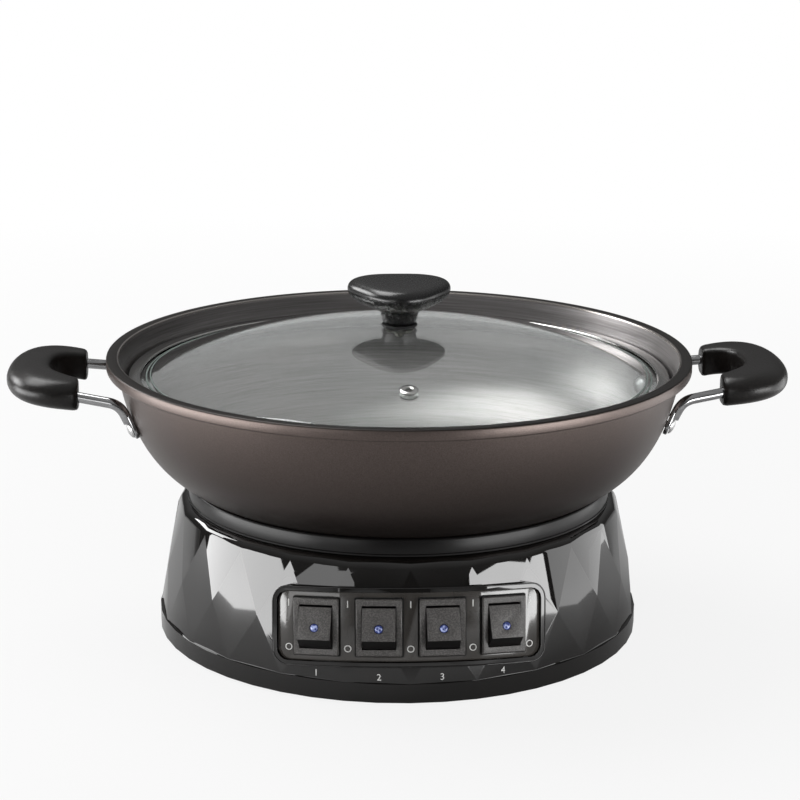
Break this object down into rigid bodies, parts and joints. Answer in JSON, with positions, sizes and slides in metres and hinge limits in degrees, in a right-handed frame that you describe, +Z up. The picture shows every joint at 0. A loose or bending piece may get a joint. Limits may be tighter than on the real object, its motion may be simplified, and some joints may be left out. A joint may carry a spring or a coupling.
{
  "type": "electric skillet",
  "caption": "Electric skillet: wide steel pan fixed on a faceted black base with a row of rocker switches, loop handles, a rear inlet and a loose domed glass lid.",
  "frame": {"origin": "on the pan's axis at table height, under the feet", "axes": "+X towards the right handle seen from the switches, +Y away from the switches, +Z up"},
  "size_m": [0.4538, 0.34, 0.2061],
  "materials": {
    "pan_steel": "satin dark coating outside, circular brushed steel inside",
    "rod_chrome": "polished chrome plate",
    "grip_bakelite": "moulded thermoset, matt",
    "rivet_steel": "plain steel",
    "collar_plastic": "gloss black",
    "base_plastic": "high gloss black facets",
    "panel_plastic": "semi-gloss dark grey",
    "switch_plastic": "fine spark texture, matt",
    "rocker_plastic": "fine spark texture, matt",
    "lens_clear": "clear moulded lens, cold white",
    "cover_plastic": "moulded, matt",
    "black_rubber": "matt rubber",
    "zinc_steel": "zinc plated",
    "pin_brass": "plain brass",
    "terminal_ceramic": "unglazed steatite",
    "lead_sleeve": "silicone sleeve",
    "heater_steel": "heat-darkened steel",
    "lid_glass": "clear tempered glass",
    "lid_steel": "polished stainless steel",
    "knob_plastic": "satin thermoset"
  },
  "bodies": {
    "root": {"wok_bowl": "pan_steel", "handle_rod_left": "rod_chrome", "handle_rod_right": "rod_chrome", "handle_grip_left": "grip_bakelite", "handle_grip_right": "grip_bakelite", "handle_rivet_left_back": "rivet_steel", "handle_rivet_left_front": "rivet_steel", "handle_rivet_right_back": "rivet_steel", "handle_rivet_right_front": "rivet_steel", "collar_ring": "collar_plastic", "base_shell": "base_plastic", "switch_panel": "panel_plastic", "switch_housing_1": "switch_plastic", "switch_housing_2": "switch_plastic", "switch_housing_3": "switch_plastic", "switch_housing_4": "switch_plastic", "bottom_cover": "cover_plastic", "foot_1": "black_rubber", "foot_2": "black_rubber", "foot_3": "black_rubber", "foot_4": "black_rubber", "cover_screw_1": "zinc_steel", "cover_screw_2": "zinc_steel", "cover_screw_3": "zinc_steel", "cover_screw_4": "zinc_steel", "inlet_housing": "cover_plastic", "inlet_pin_line": "pin_brass", "inlet_pin_neutral": "pin_brass", "inlet_pin_earth": "pin_brass", "terminal_block": "terminal_ceramic", "lead_line": "lead_sleeve", "lead_neutral": "lead_sleeve", "heat_shield": "zinc_steel", "heater_ring_inner": "heater_steel", "heater_ring_middle": "heater_steel", "heater_ring_outer": "heater_steel", "thermostat": "heater_steel", "thermal_fuse": "terminal_ceramic", "wok_stud_1": "zinc_steel", "wok_stud_2": "zinc_steel", "wok_stud_3": "zinc_steel", "stud_nut_1": "zinc_steel", "stud_nut_2": "zinc_steel", "stud_nut_3": "zinc_steel"},
    "lid": {"lid_glass": "lid_glass", "lid_rim": "lid_steel", "vent_eyelet": "lid_steel", "knob": "knob_plastic", "knob_gasket": "black_rubber", "knob_washer": "zinc_steel", "knob_screw": "zinc_steel"},
    "rocker_a": {"rocker_1": "rocker_plastic", "indicator_lens_1": "lens_clear"},
    "rocker_b": {"rocker_2": "rocker_plastic", "indicator_lens_2": "lens_clear"},
    "rocker_c": {"rocker_3": "rocker_plastic", "indicator_lens_3": "lens_clear"},
    "rocker_d": {"rocker_4": "rocker_plastic", "indicator_lens_4": "lens_clear"}
  },
  "joints": [
    {"name": "lid_lift", "type": "slide", "parent": "root", "child": "lid", "axis": [0, 0, 1], "range_m": [0, 0.12]},
    {"name": "rocker_a_press", "type": "hinge", "parent": "root", "child": "rocker_a", "pos_m": [-0.05011, -0.12555, 0.04108], "axis": [0.9609, -0.2727, 0.0479], "range_deg": [0, 33]},
    {"name": "rocker_b_press", "type": "hinge", "parent": "root", "child": "rocker_b", "pos_m": [-0.0169, -0.13174, 0.04217], "axis": [0.9956, -0.092, 0.0162], "range_deg": [0, 33]},
    {"name": "rocker_c_press", "type": "hinge", "parent": "root", "child": "rocker_c", "pos_m": [0.0169, -0.13174, 0.04217], "axis": [0.9956, 0.092, -0.0162], "range_deg": [0, 33]},
    {"name": "rocker_d_press", "type": "hinge", "parent": "root", "child": "rocker_d", "pos_m": [0.05011, -0.12555, 0.04108], "axis": [0.9609, 0.2727, -0.0479], "range_deg": [0, 33]}
  ]
}
